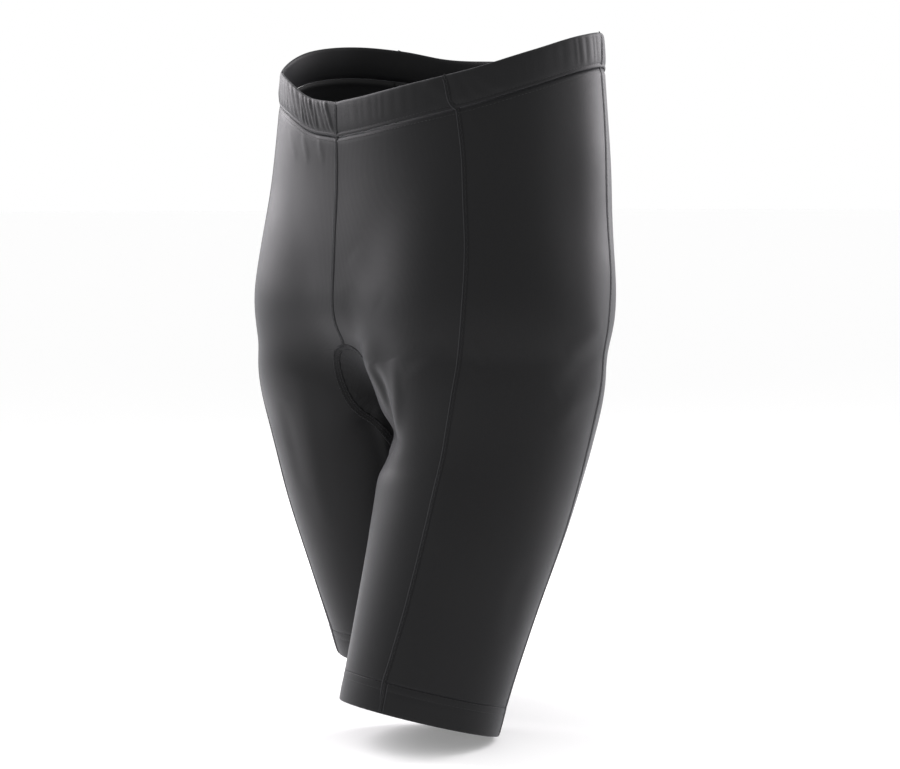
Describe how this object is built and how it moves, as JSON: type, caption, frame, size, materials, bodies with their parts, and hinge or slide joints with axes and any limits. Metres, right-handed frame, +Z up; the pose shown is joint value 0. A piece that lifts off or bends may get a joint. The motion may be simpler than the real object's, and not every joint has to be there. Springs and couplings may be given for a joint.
{
  "type": "cycling shorts",
  "caption": "Snug stretch-knit cycling shorts in worn shape, panelled legs, set-in oval crotch gusset, elastic waistband and turned-up hems.",
  "frame": {"origin": "middle of the waist opening, level with the low point of its rim at the front, where the wearer's waist holds it", "axes": "+Z up towards the waist, -Y the way the wearer faces, +X to the wearer's left"},
  "size_m": [0.3426, 0.2459, 0.539],
  "materials": {
    "panel_knit": "black satin-faced stretch knit, fine and close, with a soft sheen",
    "side_knit": "the same black stretch knit on the side panels",
    "gusset_knit": "matt black stretch knit, slightly puckered at its seam",
    "band_knit": "black stretch knit turned over a flat elastic and gathered by it",
    "hem_knit": "black stretch knit turned up once and twin-needle stitched",
    "seam_thread": "black polyester thread in flat overlocked seams and twin-needle rows"
  },
  "bodies": {
    "root": {"front_left": "panel_knit", "front_right": "panel_knit", "side_left": "side_knit", "side_right": "side_knit", "back_left": "panel_knit", "back_right": "panel_knit", "gusset": "gusset_knit", "waistband": "band_knit", "hem_left": "hem_knit", "hem_right": "hem_knit"}
  },
  "joints": []
}
